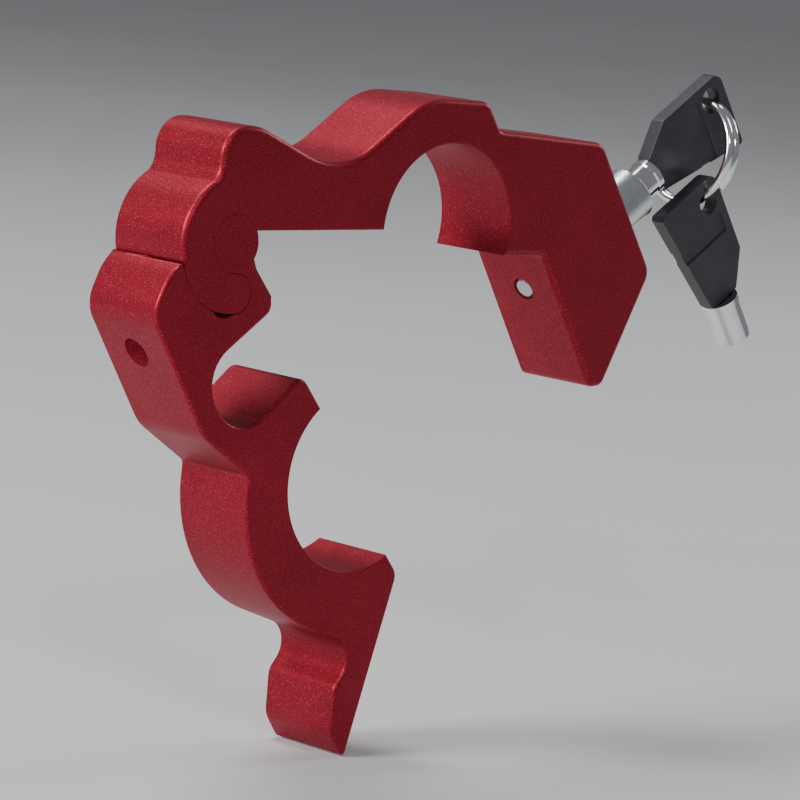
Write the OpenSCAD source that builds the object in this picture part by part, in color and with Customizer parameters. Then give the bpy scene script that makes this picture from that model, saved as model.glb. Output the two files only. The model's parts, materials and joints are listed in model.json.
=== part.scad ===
// Handlebar lock: two profiled plates hinged by a bulb and socket close round a grip and a
// brake lever, and a push-in tubular-key cylinder bolts them together.
// X runs from the hinge to the lock, Y along the grip, Z up. The origin is the centre of the
// grip arch, midway through the plates. The jaws are drawn standing open.

/* [Plates] */
// Thickness of both jaws
plate_t = 20; // [19:0.5:22]
// Radius of the grip arch in the upper jaw
arch_r = 17.8; // [17.2:0.1:18.2]
// Radius of the grip cup in the lower jaw
cup_r = 18.7; // [18.2:0.1:19]

/* [Hinge] */
// Distance from the grip centre back to the hinge centre
hinge_x = 57; // [56.5:0.1:57.5]
// Drop of the hinge centre below the grip centre
hinge_drop = 2; // [1.8:0.1:2.2]
// Radius of the bulb on the lower jaw
bulb_r = 5.7; // [5.2:0.1:5.8]
// Radius of the hook that wraps the bulb
hook_r = 13.5; // [13.2:0.1:13.6]
// Angle between the open and the closed jaws
open_deg = 50; // [0:1:50]

/* [Lock cylinder] */
// Tilt of the lock axis above the horizontal
lock_deg = 34; // [33:0.5:35]
// Radius of the push-in barrel
barrel_r = 6; // [5.9:0.1:6.1]
// How far the barrel stands out of the block
barrel_out = 11; // [10.5:0.5:12]
// How far the barrel pushes in
travel = 9; // [8:0.5:9]
// Radius of the locking bolt
bolt_r = 2.5; // [2.2:0.1:2.6]
// Number of pins in the tumbler
pin_n = 7; // [5:1:7]

/* [Keys] */
// Outer radius of the tubular key
key_r = 3.8; // [3.6:0.1:3.85]
// Length of the key tube
key_len = 10.6; // [10.2:0.1:11]
// Width of the key head
head_w = 18.4; // [17.8:0.2:18.8]
// Thickness of the key head
head_t = 3.4; // [3:0.1:3.6]
// Mean radius of the split ring
ring_r = 11.5; // [11.3:0.1:11.9]

/* [Hidden] */
$fn = 48;

red = [0.62, 0.13, 0.19];
steel = [0.72, 0.74, 0.76];
chrome = [0.86, 0.87, 0.89];
black = [0.13, 0.13, 0.15];
brass = [0.78, 0.63, 0.34];

run = 0.08;                         // radial clearance of a running fit
gap = 0.3;                          // clearance between faces that pass each other
cut = 1;                            // overrun of a cutting solid
half_t = plate_t / 2;
hinge = [-hinge_x, 0, -hinge_drop];

// Hook and pocket of the hinge, angles about the hinge centre with the jaws open
hook_end_deg = -85;
hook_in_r = bulb_r + 0.1;
pocket_r = hook_r + gap;
tip_r = (hook_r - hook_in_r) / 2;
tip_at = (hook_r + hook_in_r) / 2;
screw_deg = -123;
groove_w = 2.8;
groove_d = 1.15;

// Lock axis, measured out from the slanted face of the block
face_q = 46.2;                      // distance of the slanted face from the grip centre
seat_q = 19.8;                      // distance of the block's inner face
tail_q = seat_q - 0.4;              // distance of the closed tail's end face
lock_p = -30;                       // height of the axis along the slanted face
block_l = face_q - seat_q;
barrel_back = -10;
spring_seat = -22;
bore_r = barrel_r + run;

// Tumbler, along the lock axis
core_r = 4.5;
mouth_r = key_r + 0.15;
core_front = 6.2;
core_back = 0.2;
block_back = -5;
post_r = 2.85;
key_in_r = 3;
stem_r = 1.5;
pin_circle = 3.45;
pin_r = 0.42;
pin_hole_r = pin_r + 0.06;
dog_z = -7.5;
dog_w = 2.6;
dog_h = 3;
crank_e = 1.2;
crank_r = 0.7;
dog_out = 1.16;
dog_deg = 180;
dog_tail = 1.9;
crank_deg = 105;
crank_x = crank_e * cos(crank_deg);
screw_z = -2.2;
slot_d = 1;
bolt_pin_l = 8;

// Keys
key_tip_z = core_front + 0.2;
head_l = 19.6;
shoulder_l = 7.4;
neck_w = 8.4;
hole_r = 2.7;
hole_u = 4.9;
hole_v = 4.9;
recess_w = 14.4;
recess_h = 5;
recess_d = 0.4;
recess_at = 8.5;

// Axis of the lock seen in the plane of the plates, and the direction up along its face
function along(q, p) = [
    q * cos(lock_deg) - p * sin(lock_deg),
    q * sin(lock_deg) + p * cos(lock_deg)
];

// Outline from corners [x, z, radius]: each corner with a radius becomes a tangent arc
function unit(v) = v / norm(v);
function turn_deg(a, b) = atan2(a.x * b.y - a.y * b.x, a.x * b.x + a.y * b.y);
function steps(r, a) = max(2, ceil(max(abs(a) / 10, r * abs(a) * PI / 180 / 1.5)));
function corner(a, b, c, r) =
    let (
        u = unit(b - a),
        w = unit(c - b),
        t = turn_deg(u, w),
        start = b - u * r * tan(abs(t) / 2),
        centre = start + sign(t) * r * [-u.y, u.x],
        n = steps(r, t),
        from = atan2(start.y - centre.y, start.x - centre.x)
    )
    r == 0 ? [b] : [for (i = [0:n]) centre + r * [cos(from + t * i / n), sin(from + t * i / n)]];
function outline(v) =
    let (m = len(v))
    [for (i = [0:m - 1])
        let (a = v[(i + m - 1) % m], b = v[i], c = v[(i + 1) % m])
        each corner([a[0], a[1]], [b[0], b[1]], [c[0], c[1]], b[2])
    ];

// Plate of thickness t across Y with the given outline
module plate(v, t) {
    rotate([90, 0, 0])
        linear_extrude(height = t, center = true)
            polygon(outline(v));
}

module disc_y(r, t) {
    rotate([90, 0, 0])
        cylinder(r = r, h = t, center = true);
}

module rod(r, z0, z1) {
    translate([0, 0, z0])
        cylinder(r = r, h = z1 - z0);
}

module at_hinge(deg) {
    translate(hinge)
        rotate([0, -deg, 0])
            children();
}

// Local Z runs out along the lock axis from the slanted face, local Y stays along the grip
module at_lock() {
    f = along(face_q, lock_p);
    translate([f[0], 0, f[1]])
        rotate([0, 90 - lock_deg, 0])
            children();
}

// The closed lower jaw is swung down about the hinge to stand open
module opened() {
    translate(hinge)
        rotate([0, open_deg, 0])
            translate(-hinge)
                children();
}

// ---- Upper jaw ----

// Points round the hinge centre, and round the centre of the hook's rounded tip
function round_hinge(r, deg) = [hinge.x + r * cos(deg), hinge.z + r * sin(deg), 0];
function round_tip(deg) =
    round_hinge(tip_at, hook_end_deg)
    + [tip_r * cos(hook_end_deg + deg), tip_r * sin(hook_end_deg + deg), 0];

upper_corners = [
    [-57, 0.5, 0], [0, 0.5, 0], [8, -5, 0], [28.4, -5, 2.5],
    [each along(seat_q, -53.2), 2.4], [49.9, -32.8, 2.4], [61.7, -8.9, 4], [43.6, 18.2, 3.5],
    [13, 20.4, 2], [8.9, 26.2, 2.6], [-8.4, 26.8, 17], [-26.8, 13.8, 17], [-36, 13.8, 18],
    [-52.6, 20.6, 11], [-62, 20.6, 6], [-62, 11.4, 5],
    for (i = [0:30]) round_hinge(hook_r, 118 + (360 + hook_end_deg - 118) * i / 30),
    for (deg = [15:15:165]) round_tip(deg),
    round_hinge(bulb_r - 1, hook_end_deg)
];

module screw_groove() {
    at_hinge(-130)
        rotate([90, 0, 0])
            rotate_extrude(angle = 70)
                translate([hook_r - groove_d, -groove_w / 2])
                    square([groove_d + cut, groove_w]);
}

// Pocket for the latch dog, turned to the dog's side of the barrel
module dog_pocket(z) {
    rotate([0, 0, dog_deg])
        translate([0, -dog_w / 2 - gap, z - dog_h / 2 - gap])
            cube([bore_r + dog_out + gap, dog_w + 2 * gap, dog_h + 2 * gap]);
}

module lock_bores() {
    at_lock() {
        rod(bore_r, spring_seat, 4);
        rod(bolt_r + run, -block_l - 4, spring_seat + cut);
        dog_pocket(dog_z);
        dog_pocket(dog_z - travel);
        translate([0, bore_r - 0.4, screw_z])
            rotate([-90, 0, 0])
                cylinder(r = 1.5, h = half_t);
    }
}

module upper_jaw() {
    color(red)
        difference() {
            plate(upper_corners, plate_t);
            disc_y(arch_r, plate_t + 2 * cut);
            at_hinge(0)
                disc_y(hook_in_r, plate_t + 2 * cut);
            screw_groove();
            lock_bores();
        }
}

// ---- Lower jaw ----

lower_corners = [
    [-60, -8, 0], [-64.3, -16, 9], [-59.2, -26, 6.5], [-31, -29.4, 9],
    [-16.9, -25, 1.2], [-13, -28.4, 3], [3.5, -39.7, 28.5], [32.8, -22.3, 5], [34.9, -31.9, 3.5],
    [42, -37.8, 5], [each along(tail_q, -59.3), 0.8], [each along(tail_q, -20.4), 3],
    [15, -6, 0], [-10, -3, 0],
    [-24.2, -3, 2.4], [-24.2, -23.4, 7.8], [-41.6, -23.4, 7.8], [-39.8, -0.8, 2.6],
    [-49.5, -0.8, 2], [-52.5, 0.1, 0], [-57, 0.1, 0]
];

module pocket_cut() {
    at_hinge(open_deg) {
        difference() {
            rotate([90, 0, 0])
                cylinder(r = pocket_r, h = plate_t + 2 * cut, center = true);
            rotate([90, 0, 0])
                linear_extrude(height = plate_t + 4 * cut, center = true)
                    polygon([
                        [0, 0], 20 * [cos(hook_end_deg), sin(hook_end_deg)], [30, -20], [30, 20],
                        [0, 20]
                    ]);
        }
        rotate([0, -hook_end_deg, 0])
            translate([tip_at, 0, 0])
                rotate([90, 0, 0])
                    cylinder(r = tip_r + 0.2, h = plate_t + 2 * cut, center = true);
        rotate([0, 14 - hook_end_deg, 0])
            translate([tip_at + 0.9, 0, 0])
                rotate([90, 0, 0])
                    cylinder(r = tip_r + 0.1, h = plate_t + 2 * cut, center = true);
    }
}

module tail_hole() {
    at_lock()
        rod(bolt_r + 0.5, -block_l - 9.6, -block_l + 3);
}

module hinge_screw_hole() {
    at_hinge(open_deg + screw_deg)
        rotate([0, 90, 0]) {
            rod(2.5, hook_r - cut, 22);
            rod(3, 19.5, 34);
        }
}

module lower_jaw() {
    color(red)
        opened() {
            difference() {
                plate(lower_corners, plate_t);
                pocket_cut();
                translate([3.5, 0, -3.6])
                    disc_y(cup_r, plate_t + 2 * cut);
                tail_hole();
                hinge_screw_hole();
            }
            at_hinge(0)
                disc_y(bulb_r, plate_t);
        }
}

// Dog-point set screw: its tip rides in the groove of the hook and keeps the jaws in line
module hinge_screw() {
    color(steel)
        at_hinge(screw_deg)
            rotate([0, 90, 0])
                difference() {
                    union() {
                        rod(2.46, hook_r + 0.5, 19.4);
                        rod(1.2, hook_r - groove_d + 0.2, hook_r + 1);
                    }
                    translate([0, 0, 17])
                        cylinder(r = 1.45, h = 4, $fn = 6);
                }
}

// ---- Lock cylinder ----

module lock_barrel() {
    color(chrome)
        at_lock()
            difference() {
                rotate_extrude()
                    polygon([
                        [0, barrel_back], [barrel_r, barrel_back], [barrel_r, barrel_out - 0.7],
                        [barrel_r - 0.7, barrel_out], [0, barrel_out]
                    ]);
                rod(mouth_r, core_front, barrel_out + cut);
                rod(core_r + run, block_back, core_front + 0.1);
                rod(stem_r + 0.8, barrel_back + 1, block_back + cut);
                rod(1.6, barrel_back - cut, barrel_back + 2);
                bolt_pin_bore(0.3);
                rotate([0, 0, dog_deg])
                    translate([-dog_tail - gap, -dog_w / 2 - run, dog_z - dog_h / 2 - run])
                        cube([barrel_r + dog_tail + cut, dog_w + 2 * run, dog_h + 2 * run]);
                translate([0, barrel_r - slot_d, screw_z - 1.15])
                    slot_cut(travel);
                cross_pins(0.6);
            }
}

// Straight slot that the retaining screw's tip slides in
module slot_cut(l) {
    translate([-1.15, 0, 0])
        cube([2.3, slot_d + cut, l + 2.3]);
}

module lock_core() {
    color(brass)
        at_lock()
            difference() {
                union() {
                    rod(core_r, core_back, core_front);
                    rod(post_r, core_front - cut, barrel_out - 0.6);
                    rod(stem_r, dog_z + dog_h / 2 + 0.2, core_back + cut);
                    rotate([0, 0, dog_deg + crank_deg])
                        translate([crank_e, 0, 0])
                            rod(crank_r, dog_z - dog_h / 2 + cut, dog_z + dog_h / 2 + 0.6);
                }
                pin_holes(core_back - cut, core_front + cut);
                translate([0, 0, barrel_out - 1.6])
                    cylinder(r = 1, h = 2);
            }
}

module pin_holes(z0, z1) {
    for (i = [0:pin_n - 1])
        rotate([0, 0, 360 * i / pin_n])
            translate([pin_circle, 0, 0])
                rod(pin_hole_r, z0, z1);
}

module pins(z0, z1) {
    for (i = [0:pin_n - 1])
        rotate([0, 0, 360 * i / pin_n])
            translate([pin_circle, 0, 0])
                rod(pin_r, z0, z1);
}

module pin_block() {
    color(brass)
        at_lock()
            difference() {
                rod(core_r, block_back, core_back - 0.1);
                rod(stem_r + run, block_back - cut, core_back + cut);
                pin_holes(block_back + 0.6, core_back + cut);
                cross_pins(0.6);
            }
}

// Two stub pins that hold the pin block in the barrel, each between two pin holes
module cross_pins(r) {
    for (i = [1.5, pin_n - 1.5])
        rotate([0, 0, 360 * i / pin_n])
            translate([stem_r + 0.7, 0, block_back + 2.4])
                rotate([0, 90, 0])
                    cylinder(r = r, h = barrel_r - slot_d - stem_r - 0.9);
}

module block_pin() {
    color(steel)
        at_lock()
            cross_pins(0.58);
}

module key_pins() {
    color(brass)
        at_lock()
            pins(core_back + 0.1, core_front + 0.05);
}

module driver_pins() {
    color(steel)
        at_lock()
            pins(core_back - 2.1, core_back - 0.15);
}

module coil(r, wire, z0, z1, turns) {
    n = 8 * turns;
    for (i = [0:n - 1])
        let (
            a0 = 45 * i,
            z = z0 + (z1 - z0) * (i + 0.5) / n,
            rise = (z1 - z0) / n,
            chord = 2 * r * sin(22.5)
        )
        rotate([0, 0, a0])
            translate([r * cos(22.5), 0, z])
                rotate([-90 + atan2(rise, chord), 0, 0])
                    cylinder(r = wire, h = norm([chord, rise]) + wire * 0.9, center = true);
}

module pin_springs() {
    color(steel)
        at_lock()
            for (i = [0:pin_n - 1])
                rotate([0, 0, 360 * i / pin_n])
                    translate([pin_circle, 0, 0])
                        rod(pin_r * 0.8, block_back + 0.65, core_back - 2.15);
}

module return_spring() {
    color(steel)
        at_lock()
            coil(4.2, 0.4, spring_seat + 0.6, barrel_back - 0.6, 5);
}

// Latch dog with a cross slot that the crank on the core's stem drives
module latch_dog() {
    color(steel)
        at_lock()
            rotate([0, 0, dog_deg])
                difference() {
                    translate([-dog_tail, -dog_w / 2, dog_z - dog_h / 2])
                        cube([barrel_r - 0.05 + dog_tail, dog_w, dog_h]);
                    translate([crank_x - crank_r - 0.2, -dog_w / 2 - cut, dog_z - dog_h / 2 + 0.8])
                        cube([2 * crank_r + 0.4, dog_w + 2 * cut, dog_h]);
                }
}

module locking_bolt() {
    color(steel)
        at_lock()
            difference() {
                union() {
                    rotate_extrude()
                        polygon([
                            [0, 0.8 - block_l], [bolt_r - 0.6, 0.8 - block_l], [bolt_r, 1.4 - block_l],
                            [bolt_r, barrel_back - 0.05], [0, barrel_back - 0.05]
                        ]);
                    rod(1.55, barrel_back - cut, barrel_back + 0.95);
                }
                bolt_pin_bore(0.3);
            }
}

// Cross pin that holds the locking bolt in the barrel's rear wall
module bolt_pin_bore(r) {
    translate([0, 0, barrel_back + 0.5])
        rotate([90, 0, 0])
            cylinder(r = r, h = bolt_pin_l, center = true);
}

module bolt_pin() {
    color(steel)
        at_lock()
            bolt_pin_bore(0.28);
}

// Set screw in the back face of the block; its tip in the barrel's slot holds the barrel
module barrel_screw() {
    color(steel)
        at_lock()
            translate([0, 0, screw_z])
                rotate([-90, 0, 0])
                    difference() {
                        union() {
                            rod(1, barrel_r - slot_d + 0.15, bore_r + 0.5);
                            rod(1.5, bore_r + 0.05, half_t - 0.6);
                        }
                        translate([0, 0, half_t - 1.9])
                            cylinder(r = 0.9, h = 2, $fn = 6);
                    }
}

// ---- Keys ----
// A key is drawn with its tube along +Z from z = 0 and its head above it, flat across Y

head_corners = [
    [-neck_w / 2, 0, 0.8], [neck_w / 2, 0, 0.8], [head_w / 2, shoulder_l, 1.6],
    [head_w / 2, shoulder_l + head_l, 2.4], [-head_w / 2, shoulder_l + head_l, 1]
];

module key_blade() {
    difference() {
        union() {
            rotate_extrude()
                polygon([
                    [key_in_r, 0], [key_r - 0.3, 0], [key_r, 0.3], [key_r, key_len - 1.6],
                    [key_r + 0.3, key_len - 1.3], [key_r + 0.3, key_len], [key_in_r, key_len]
                ]);
            rod(key_r, key_len - 2.4, key_len - 0.2);
            translate([-1.9, -1.2, key_len - cut])
                cube([3.8, 2.4, 5 + cut]);
        }
        translate([-0.7, 2, -cut])
            cube([1.4, 3, 2.6 + cut]);
        for (a = [40, 140, 200, 250, 310])
            rotate([0, 0, a])
                translate([pin_circle, 0, -cut])
                    cylinder(r = 0.6, h = 1.2 + cut);
    }
}

module key_grip() {
    difference() {
        translate([0, 0, key_len + 0.02])
            plate(head_corners, head_t);
        translate([hole_u, 0, key_len + shoulder_l + head_l - hole_v])
            disc_y(hole_r, head_t + 2 * cut);
        translate([-1.92, -1.22, key_len - cut])
            cube([3.84, 2.44, 5.02 + cut]);
        for (s = [-1, 1])
            translate([0, s * head_t / 2, key_len + shoulder_l + recess_at])
                cube([recess_w, 2 * recess_d, recess_h], center = true);
    }
}

module inserted_key() {
    at_lock()
        translate([0, 0, key_tip_z])
            rotate([0, 0, 180])
                children();
}

module key_tube() {
    color(chrome)
        inserted_key()
            key_blade();
}

module key_head() {
    color(black)
        inserted_key()
            key_grip();
}

// The ring threads the hole of each key; the spare key hangs from it, tube down
first_hole = let (q = along(
        face_q + key_tip_z + key_len + shoulder_l + head_l - hole_v, lock_p + hole_u))
    [q[0], 0, q[1]];
hole_gap = [-2.3, -4.1, -21.4];
spare_hole = first_hole + hole_gap;
ring_axis = unit(cross([0, -1, 0.32], hole_gap));
ring_back = unit(cross(ring_axis, hole_gap));
ring_sag = sqrt(ring_r * ring_r - pow(norm(hole_gap) / 2, 2));
ring_centre = first_hole + hole_gap / 2 + ring_sag * ring_back;
spare_lean = -34;

module key_ring() {
    color(chrome)
        translate(ring_centre)
            rotate([0, acos(ring_axis.z), atan2(ring_axis.y, ring_axis.x)])
                rotate_extrude()
                    for (s = [-1, 1])
                        translate([ring_r, s * 0.55])
                            circle(r = 0.56, $fn = 16);
}

module hanging_key() {
    translate(spare_hole)
        rotate([0, spare_lean, 0])
            translate([-hole_u, 0, -(key_len + shoulder_l + head_l - hole_v)])
                children();
}

module spare_key_tube() {
    color(chrome)
        hanging_key()
            key_blade();
}

module spare_key_head() {
    color(black)
        hanging_key()
            key_grip();
}

upper_jaw();
lower_jaw();
hinge_screw();
lock_barrel();
lock_core();
pin_block();
block_pin();
key_pins();
driver_pins();
pin_springs();
latch_dog();
locking_bolt();
bolt_pin();
return_spring();
barrel_screw();
key_tube();
key_head();
key_ring();
spare_key_tube();
spare_key_head();
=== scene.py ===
import json
import math

import bpy
from mathutils import Matrix, Quaternion, Vector


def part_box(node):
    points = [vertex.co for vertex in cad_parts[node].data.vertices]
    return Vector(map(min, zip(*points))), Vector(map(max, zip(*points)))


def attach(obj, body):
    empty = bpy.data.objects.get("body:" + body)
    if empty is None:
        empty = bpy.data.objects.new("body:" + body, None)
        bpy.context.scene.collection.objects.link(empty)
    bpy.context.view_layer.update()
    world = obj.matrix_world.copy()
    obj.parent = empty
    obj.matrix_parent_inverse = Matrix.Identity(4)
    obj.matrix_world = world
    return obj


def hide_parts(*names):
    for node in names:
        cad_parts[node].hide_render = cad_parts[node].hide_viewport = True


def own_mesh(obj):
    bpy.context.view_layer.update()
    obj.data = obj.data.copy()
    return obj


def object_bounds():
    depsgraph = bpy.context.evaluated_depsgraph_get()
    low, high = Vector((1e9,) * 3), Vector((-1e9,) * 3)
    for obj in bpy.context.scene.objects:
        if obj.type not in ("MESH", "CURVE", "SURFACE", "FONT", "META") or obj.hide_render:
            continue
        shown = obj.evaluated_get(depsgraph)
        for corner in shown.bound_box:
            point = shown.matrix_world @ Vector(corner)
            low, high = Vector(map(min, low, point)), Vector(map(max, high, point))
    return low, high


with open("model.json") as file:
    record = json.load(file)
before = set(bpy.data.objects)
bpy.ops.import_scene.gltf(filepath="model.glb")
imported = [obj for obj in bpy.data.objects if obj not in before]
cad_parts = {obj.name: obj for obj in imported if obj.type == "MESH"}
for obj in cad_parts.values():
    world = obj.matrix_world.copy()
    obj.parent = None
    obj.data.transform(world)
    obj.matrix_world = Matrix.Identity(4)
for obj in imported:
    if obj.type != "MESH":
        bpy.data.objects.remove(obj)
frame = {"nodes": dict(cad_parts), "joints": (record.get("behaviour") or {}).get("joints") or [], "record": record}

cad_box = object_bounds()
nodes = frame["nodes"]
joints = {j["name"]: j for j in frame["joints"]}
MM = 0.001


# ---------------------------------------------------------------- node trees

def link(tree, a, b):
    tree.links.new(a, b)


def add(tree, kind, ins=None, **props):
    """A node with its settings, and its sockets set or linked by name or number."""
    n = tree.nodes.new(kind)
    for k, v in props.items():
        setattr(n, k, v)
    for k, v in (ins or {}).items():
        s = n.inputs[k]
        if isinstance(v, bpy.types.NodeSocket):
            tree.links.new(v, s)
        else:
            s.default_value = v
    return n


def material(name, shader):
    m = bpy.data.materials.new(name)
    m.use_nodes = True
    t = m.node_tree
    t.nodes.clear()
    out = t.nodes.new("ShaderNodeOutputMaterial")
    bsdf = add(t, "ShaderNodeBsdfPrincipled", shader)
    link(t, bsdf.outputs[0], out.inputs[0])
    return m, t, bsdf


def coords(t, scale=(1, 1, 1), turn=(0, 0, 0)):
    c = t.nodes.new("ShaderNodeTexCoord")
    m = add(t, "ShaderNodeMapping", {"Vector": c.outputs["Object"], "Scale": scale, "Rotation": turn})
    return m.outputs[0]


def noise(t, at, scale, detail=2.0, rough=0.5):
    n = add(t, "ShaderNodeTexNoise", {"Vector": at, "Scale": scale, "Detail": detail, "Roughness": rough})
    return n.outputs["Fac"]


def spread(t, value, lo, hi, a=0.3, b=0.7):
    """value from a..b becomes lo..hi."""
    m = add(t, "ShaderNodeMapRange", {0: value, 1: a, 2: b, 3: lo, 4: hi})
    return m.outputs[0]


def ramp(t, value, stops):
    r = add(t, "ShaderNodeValToRGB", {0: value})
    e = r.color_ramp.elements
    while len(e) < len(stops):
        e.new(0.5)
    for el, (p, c) in zip(e, stops):
        el.position = p
        el.color = (*c, 1)
    return r.outputs[0]


def blend_colour(t, fac, a, b, how="MIX"):
    m = t.nodes.new("ShaderNodeMix")
    m.data_type = "RGBA"
    m.blend_type = how
    for k, v in ((0, fac), (6, a), (7, b)):
        if isinstance(v, bpy.types.NodeSocket):
            link(t, v, m.inputs[k])
        else:
            m.inputs[k].default_value = v if k == 0 else (*v, 1)
    return m.outputs[2]


def bump(t, height, strength, distance, after=None):
    n = add(t, "ShaderNodeBump", {"Height": height, "Strength": strength, "Distance": distance})
    if after is not None:
        link(t, after, n.inputs["Normal"])
    return n.outputs[0]


# ---------------------------------------------------------------- materials

LOCK_TURN = math.radians(-56)           # turns the lock's axis onto Z
AXIAL = (0, LOCK_TURN, 0)


def red_anodised():
    """Bead-blasted aluminium, dyed crimson: fine bright specks painted into the colour as glints of the dimples,
    with a slow change of tone.
    """
    m, t, b = material("red_anodised", {
        "Metallic": 0.8, "IOR": 1.45, "Coat Weight": 0.06, "Coat Roughness": 0.4,
        "Specular IOR Level": 0.45})
    at = coords(t)
    grain = noise(t, at, 3400, 1.5, 0.6)
    glint_noise = noise(t, at, 4200, 0.0)
    cloud = noise(t, at, 70, 4, 0.6)
    slow = noise(t, at, 22, 2)
    tone = ramp(t, cloud, [(0.3, (0.270, 0.0075, 0.0210)), (0.7, (0.325, 0.0105, 0.0285))])
    tone = blend_colour(t, spread(t, slow, 0.0, 0.35), tone, (0.265, 0.0100, 0.0200))
    # Painted glints: bright pink specks mixed into the base colour where the dimples would catch the light.
    painted_glint = spread(t, glint_noise, 0.0, 0.55, 0.60, 0.80)
    tone = blend_colour(t, painted_glint, tone, (0.80, 0.10, 0.16))
    dark = spread(t, grain, 0.40, 0.0, 0.24, 0.48)
    tone = blend_colour(t, dark, tone, (0.16, 0.004, 0.009))
    link(t, tone, b.inputs["Base Color"])
    rough = add(t, "ShaderNodeMath", {0: spread(t, grain, 0.42, 0.54), 1: spread(t, slow, -0.03, 0.03)},
                operation="ADD").outputs[0]
    link(t, rough, b.inputs["Roughness"])
    link(t, bump(t, grain, 0.30, 0.00007), b.inputs["Normal"])
    return m


def plated(name, colour, lo, hi, ring_scale=0, turn=(0, 0, 0), metallic=1.0, haze=0.0):
    """Plated or machined metal; ring_scale gives fine turning marks across the local Z axis."""
    m, t, b = material(name, {"Metallic": metallic, "IOR": 1.6})
    at = coords(t, turn=turn)
    wear = noise(t, at, 450, 5, 0.65)
    smudge = noise(t, at, 130, 3)
    tone = blend_colour(t, spread(t, smudge, 0.0, 0.35), colour, tuple(0.78 * c for c in colour))
    scratch = coords(t, scale=(14, 900, 900), turn=turn)
    line = noise(t, scratch, 3, 2)
    bright = tuple(min(1, 1.15 * c) for c in colour)
    tone = blend_colour(t, spread(t, line, 0.0, 0.22, 0.6, 0.72), tone, bright)
    link(t, tone, b.inputs["Base Color"])
    link(t, spread(t, wear, lo, hi), b.inputs["Roughness"])
    normal = bump(t, wear, 0.08 + haze, 0.00003)
    if ring_scale:
        rings = noise(t, coords(t, scale=(20, 20, ring_scale), turn=turn), 1, 2)
        normal = bump(t, rings, 0.35, 0.00002, normal)
    link(t, normal, b.inputs["Normal"])
    return m


def black_plastic():
    """Moulded black plastic: a satin skin with fine grain, faint scuffs and handling marks."""
    m, t, b = material("black_plastic", {"IOR": 1.49, "Specular IOR Level": 0.55,
                                         "Coat Weight": 0.15, "Coat Roughness": 0.25})
    at = coords(t)
    grain = noise(t, at, 4200, 2, 0.6)
    scuff = noise(t, coords(t, scale=(160, 160, 1500)), 1, 4, 0.7)
    smear = noise(t, at, 180, 3)
    tone = ramp(t, smear, [(0.3, (0.020, 0.021, 0.026)), (0.7, (0.032, 0.033, 0.039))])
    tone = blend_colour(t, spread(t, scuff, 0.0, 0.3, 0.66, 0.8), tone, (0.10, 0.10, 0.11))
    link(t, tone, b.inputs["Base Color"])
    link(t, spread(t, grain, 0.34, 0.48), b.inputs["Roughness"])
    link(t, bump(t, grain, 0.25, 0.00004), b.inputs["Normal"])
    return m


SHADES = {
    "red_anodised": red_anodised(),
    "bright_chrome": plated("bright_chrome", (0.90, 0.90, 0.92), 0.07, 0.16),
    "barrel_satin": plated("barrel_satin", (0.74, 0.76, 0.78), 0.24, 0.36, 5200, AXIAL, haze=0.1),
    "steel": plated("steel", (0.60, 0.61, 0.63), 0.22, 0.36, 3600, AXIAL),
    "dark_steel": plated("dark_steel", (0.075, 0.075, 0.080), 0.30, 0.46, 2600,
                         haze=0.15, metallic=0.85),
    "brass": plated("brass", (0.78, 0.56, 0.24), 0.18, 0.32, 3600, AXIAL),
    "black_plastic": black_plastic(),
}
for part in frame["record"]["subparts"]:
    mesh = nodes[part["node"]].data
    mesh.materials.clear()
    mesh.materials.append(SHADES[part["material_slot"]])


# ---------------------------------------------------------------- rounded edges on the CAD solids

def edge_tree(name):
    g = bpy.data.node_groups.new(name, "GeometryNodeTree")
    g.interface.new_socket("Geometry", in_out="INPUT", socket_type="NodeSocketGeometry")
    g.interface.new_socket("Geometry", in_out="OUTPUT", socket_type="NodeSocketGeometry")
    return g, g.nodes.new("NodeGroupInput").outputs[0], g.nodes.new("NodeGroupOutput").inputs[0]


def calc(g, how, a, b):
    return add(g, "ShaderNodeMath", {0: a, 1: b}, operation=how).outputs[0]


def joined_faces():
    """Closes the seams between the faces of an imported solid and drops its stored normals."""
    g, geo, out = edge_tree("joined_faces")
    n = add(g, "GeometryNodeMergeByDistance", {"Geometry": geo, "Distance": 2e-7})
    n = add(g, "GeometryNodeRemoveAttribute", {"Geometry": n.outputs[0], "Name": "custom_normal"})
    n = add(g, "GeometryNodeSetShadeSmooth", {"Geometry": n.outputs[0], "Shade Smooth": True})
    link(g, n.outputs[0], out)
    return g


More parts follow.
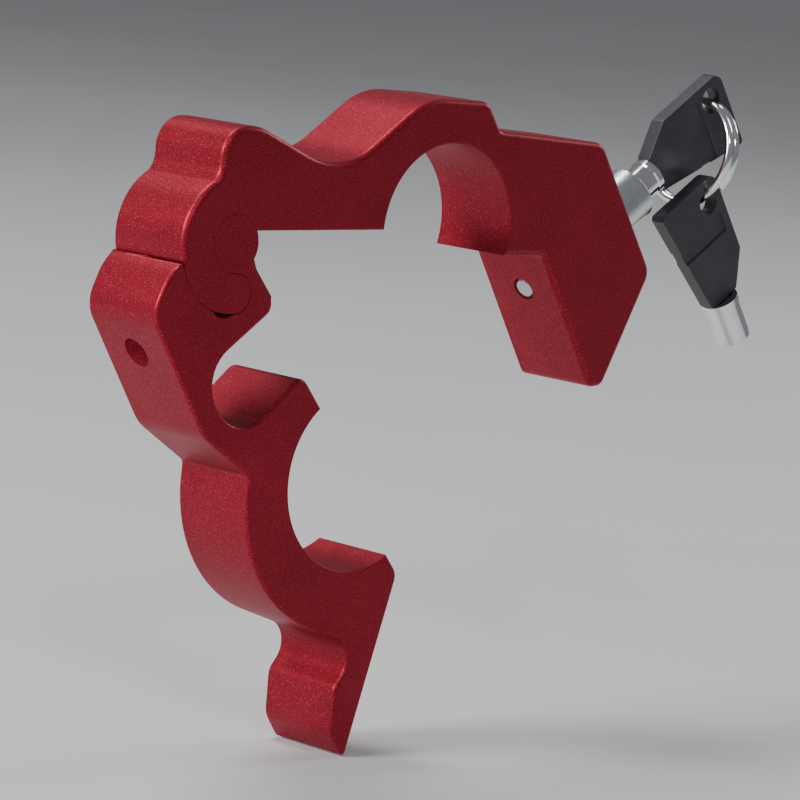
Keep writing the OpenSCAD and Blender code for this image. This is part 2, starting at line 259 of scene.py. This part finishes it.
def rim_weights(name, side, zones, far_rim=1.0):
    """Marks the sharp edges that lie in the planes y = +-side. A zone (x, z, radius, top, weight)
    gives the edges inside that circle and below that height a smaller rounding. far_rim scales
    the rounding in the plane y = side."""
    g, geo, out = edge_tree(name)
    angle = g.nodes.new("GeometryNodeInputMeshEdgeAngle").outputs[0]
    ends = g.nodes.new("GeometryNodeInputMeshEdgeVertices")
    weight = calc(g, "GREATER_THAN", angle, math.radians(35))
    spots = [ends.outputs["Position 1"], ends.outputs["Position 2"]]
    for p in spots:
        y = add(g, "ShaderNodeSeparateXYZ", {0: p}).outputs[1]
        weight = calc(g, "MULTIPLY", weight, calc(g, "GREATER_THAN", calc(g, "ABSOLUTE", y, 0), side - 5e-5))
    far = calc(g, "GREATER_THAN", add(g, "ShaderNodeSeparateXYZ", {0: spots[0]}).outputs[1], 0)
    weight = calc(g, "MULTIPLY", weight, calc(g, "SUBTRACT", 1, calc(g, "MULTIPLY", far, 1 - far_rim)))
    mid = add(g, "ShaderNodeVectorMath", {0: spots[0], 1: spots[1]}, operation="ADD").outputs[0]
    mid = add(g, "ShaderNodeVectorMath", {0: mid, 1: (0.5, 0, 0.5)}, operation="MULTIPLY").outputs[0]
    height = add(g, "ShaderNodeSeparateXYZ", {0: mid}).outputs[2]
    for x, z, radius, top, small in zones:
        away = add(g, "ShaderNodeVectorMath", {0: mid, 1: (x * MM, 0, z * MM)}, operation="DISTANCE")
        inside = calc(g, "LESS_THAN", away.outputs["Value"], radius * MM)
        inside = calc(g, "MULTIPLY", inside, calc(g, "LESS_THAN", height, top * MM))
        weight = calc(g, "MULTIPLY", weight, calc(g, "SUBTRACT", 1, calc(g, "MULTIPLY", inside, 1 - small)))
    n = add(g, "GeometryNodeStoreNamedAttribute",
            {"Geometry": geo, "Name": "bevel_weight_edge", "Value": weight},
            data_type="FLOAT", domain="EDGE")
    link(g, n.outputs[0], out)
    return g


JOIN = joined_faces()


def rounded(node, width, weights=None, segments=3, clamp=True):
    o = nodes[node]
    o.modifiers.new("join", "NODES").node_group = JOIN
    flat = o.modifiers.new("flat", "DECIMATE")
    flat.decimate_type = "DISSOLVE"
    flat.angle_limit = math.radians(0.6)
    if weights:
        o.modifiers.new("rims", "NODES").node_group = weights
    bevel = o.modifiers.new("round", "BEVEL")
    bevel.width = width
    bevel.segments = segments
    bevel.limit_method = "WEIGHT" if weights else "ANGLE"
    bevel.angle_limit = math.radians(38)
    bevel.use_clamp_overlap = clamp
    normals = o.modifiers.new("normals", "WEIGHTED_NORMAL")
    normals.keep_sharp = True


hinge = [v / MM for v in joints["jaw_hinge"]["pos_m"]]
half_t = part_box("upper_jaw")[1].y
HIGH = 1000
# The rims round the hinge stay sharp, the far rim of the upper jaw is rounded less, and the lower
# jaw's rounding is smaller than its tightest corner: a wider one folds the plates' faces over.
rounded("upper_jaw", 0.00125, rim_weights("upper_rims", half_t, [
    (hinge[0], hinge[2], 6.6, HIGH, 0.0),
    (hinge[0], hinge[2], 14.3, -5.5, 0.0),
    (0, 0, 18.3, HIGH, 0.3),
    (-36, 0.5, 17, 1.5, 0.3),
], far_rim=0.2), clamp=False)
rounded("lower_jaw", 0.00075, rim_weights("lower_rims", half_t, [
    (hinge[0], hinge[2], 14.8, HIGH, 0.0),
    (-19.3, -49.4, 19.2, HIGH, 0.35),
]), clamp=False)
for name, width in (("lock_barrel", 0.00015), ("key_tube", 0.00012), ("spare_key_tube", 0.00012),
                    ("key_head", 0.00035), ("spare_key_head", 0.00035), ("hinge_screw", 0.0001),
                    ("lock_core", 0.0001), ("locking_bolt", 0.0001), ("latch_dog", 0.00012),
                    ("pin_block", 0.00008), ("barrel_screw", 0.00008)):
    rounded(name, width, segments=2)
for name in ("block_pin", "bolt_pin", "key_pins", "driver_pins"):
    nodes[name].modifiers.new("join", "NODES").node_group = JOIN


# ---------------------------------------------------------------- pieces built here

def tube(name, path, radius, slot_name, body, sides=10):
    """A wire of round section along path, slightly narrowed at both ends."""
    verts, faces = [], []
    up = None
    count = len(path)
    for i, p in enumerate(path):
        along = (path[min(i + 1, count - 1)] - path[max(i - 1, 0)]).normalized()
        up = up or along.orthogonal()
        up = (up - along * up.dot(along)).normalized()
        side = along.cross(up)
        edge = min(i, count - 1 - i)
        r = radius * (1.0, 0.82)[edge == 0]
        for k in range(sides):
            a = math.tau * k / sides
            verts.append(p + up * (r * math.cos(a)) + side * (r * math.sin(a)))
    for i in range(count - 1):
        for k in range(sides):
            a, b = i * sides + k, i * sides + (k + 1) % sides
            faces.append((a, b, b + sides, a + sides))
    faces.append(tuple(range(sides))[::-1])
    faces.append(tuple(range((count - 1) * sides, count * sides)))
    return piece(name, verts, faces, slot_name, body)


def piece(name, verts, faces, slot_name, body):
    mesh = bpy.data.meshes.new(name)
    mesh.from_pydata(verts, [], faces)
    for f in mesh.polygons:
        f.use_smooth = len(f.vertices) == 4
    mesh.materials.append(SHADES[slot_name])
    o = bpy.data.objects.new(name, mesh)
    bpy.context.scene.collection.objects.link(o)
    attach(o, body)
    return o


SPLIT_TURN = math.radians(200)          # where the ring's cut ends lie


def ring_frame(node):
    """Centre, axis and mean radius of a ring, from its own solid."""
    pts = [v.co.copy() for v in nodes[node].data.vertices]
    lo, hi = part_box(node)
    centre = (lo + hi) / 2
    far = max(pts, key=lambda p: (p - centre).length)
    a = (far - centre).normalized()
    b = max(pts, key=lambda p: abs((p - centre).normalized().cross(a).length) * (p - centre).length)
    axis = a.cross((b - centre).normalized()).normalized()
    spans = [(p - centre).dot(axis) for p in pts]
    wide = max(((p - centre) - axis * (p - centre).dot(axis)).length for p in pts)
    return centre, axis, wide, max(spans)


def split_ring():
    """Nearly two turns of round wire side by side, with the step between them and two cut ends."""
    centre, axis, wide, half = ring_frame("key_ring")
    wire = half / 2.1
    mean = wide - wire
    apart = wire * 1.04
    a = axis.orthogonal().normalized()
    b = axis.cross(a)
    path = []
    start, stop = math.radians(28), math.radians(692)
    step_at, step_span = 338, 44        # degrees along the wire where it crosses to its second turn
    points = 260
    for i in range(points):
        t = start + (stop - start) * i / (points - 1)
        s = min(1, max(0, (math.degrees(t) - step_at) / step_span))
        shift = (-1 + 2 * s * s * (3 - 2 * s)) * apart
        turn = t + SPLIT_TURN
        path.append(centre + a * (mean * math.cos(turn)) + b * (mean * math.sin(turn)) + axis * shift)
    o = tube("split_ring", path, wire, "bright_chrome", "ring", sides=12)
    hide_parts("key_ring")


split_ring()

lock_at = Vector(joints["core_turn"]["pos_m"])
lock_axis = Vector(joints["core_turn"]["axis"]).normalized()
lock_turn = Vector((0, 0, 1)).rotation_difference(lock_axis).to_matrix().to_4x4()
to_lock = Matrix.Translation(lock_at) @ lock_turn


def span(node):
    """Lowest and highest reach of a node along the lock's axis, from the block's slanted face."""
    s = [(v.co - lock_at).dot(lock_axis) for v in nodes[node].data.vertices]
    return min(s), max(s)


def reach(node):
    """Largest radius of a node round the lock's axis."""
    return max((v.co - lock_at).cross(lock_axis).length for v in nodes[node].data.vertices)


def coil_path(r, z0, z1, turns, dead, x=0.0, y=0.0, per_turn=28):
    """A helix with closed turns at both ends."""
    n = int(turns * per_turn)
    out = []
    for i in range(n + 1):
        t = i / n
        s = min(1, max(0, (t * turns - dead) / (turns - 2 * dead)))
        a = math.tau * turns * t
        out.append(to_lock @ Vector((x + r * math.cos(a), y + r * math.sin(a), z0 + (z1 - z0) * s)))
    return out


def springs():
    lo, hi = span("return_spring")
    wire = 0.25 * MM
    o = tube("coil_spring", coil_path(reach("return_spring") - wire, lo + wire, hi - wire, 3.5, 0.5),
             wire, "steel", "upper", sides=10)
    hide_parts("return_spring")
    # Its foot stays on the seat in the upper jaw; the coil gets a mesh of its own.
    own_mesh(o)
    lo, hi = span("pin_springs")
    pins = 7
    circle = 3.45 * MM                  # radius of the circle the tumbler's pins stand on
    path_r, wire = 0.27 * MM, 0.06 * MM
    for k in range(pins):
        a = math.tau * k / pins
        path = coil_path(path_r, lo + wire, hi - wire, 9, 0.6,
                         circle * math.cos(a), circle * math.sin(a), 14)
        made = tube(f"pin_coil_{k + 1}", path, wire, "steel", "barrel", sides=6)
        if k == 0:
            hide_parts("pin_springs")


springs()


# ---------------------------------------------------------------- camera, light and floor

low = cad_box[0].z
cam_at = Vector((-0.6086, -0.6112, 0.0808))
look_at = Vector((-0.0070, -0.0075, -0.0342))
cam = bpy.data.objects.new("camera", bpy.data.cameras.new("camera"))
cam.location = cam_at
cam.rotation_mode = "QUATERNION"
roll = Quaternion((0, 0, 1), math.radians(4.97))
cam.rotation_quaternion = (look_at - cam_at).to_track_quat("-Z", "Y") @ roll
cam.data.lens = 193.05
cam.data.sensor_width = 36
cam.data.clip_start = 0.01
cam.data.clip_end = 60
bpy.context.scene.collection.objects.link(cam)
bpy.context.scene.camera = cam


def light(name, place, power, size, colour=(1, 1, 1), aim=(0, 0, -0.02)):
    data = bpy.data.lights.new(name, "AREA")
    data.shape = "DISK"
    data.energy = power
    data.size = size
    data.color = colour
    o = bpy.data.objects.new(name, data)
    o.location = place
    o.rotation_mode = "QUATERNION"
    o.rotation_quaternion = (Vector(aim) - Vector(place)).to_track_quat("-Z", "Y")
    bpy.context.scene.collection.objects.link(o)


light("key_left", (-1.3, 0.25, 0.65), 19, 0.55)
light("top_soft", (-0.2, 0.6, 1.4), 13, 0.7)
light("edge_glint", (-0.9, -1.15, 1.0), 5.5, 0.22)
light("right_rim", (1.3, -0.1, 0.6), 5, 0.4)

world = bpy.data.worlds.new("studio")
world.use_nodes = True
wt = world.node_tree
wt.nodes["Background"].inputs["Color"].default_value = (0.80, 0.82, 0.85, 1)
wt.nodes["Background"].inputs["Strength"].default_value = 0.24
bpy.context.scene.world = world

floor_mesh = bpy.data.meshes.new("floor")
FLOOR_R, FLOOR_SIDES, FLOOR_DROP = 6, 96, 0.0004
turns = [math.tau * i / FLOOR_SIDES for i in range(FLOOR_SIDES)]
rim = [Vector((FLOOR_R * math.cos(a), FLOOR_R * math.sin(a), low - FLOOR_DROP)) for a in turns]
floor_mesh.from_pydata(rim, [], [tuple(range(FLOOR_SIDES))])
m, t, b = material("studio_floor", {"Roughness": 0.75})
cloud = noise(t, coords(t), 3, 4)
link(t, ramp(t, cloud, [(0.3, (0.60, 0.60, 0.61)), (0.7, (0.64, 0.64, 0.65))]), b.inputs["Base Color"])
link(t, bump(t, noise(t, coords(t), 900, 2), 0.08, 0.0002), b.inputs["Normal"])
floor_mesh.materials.append(m)
floor = bpy.data.objects.new("floor", floor_mesh)
bpy.context.scene.collection.objects.link(floor)
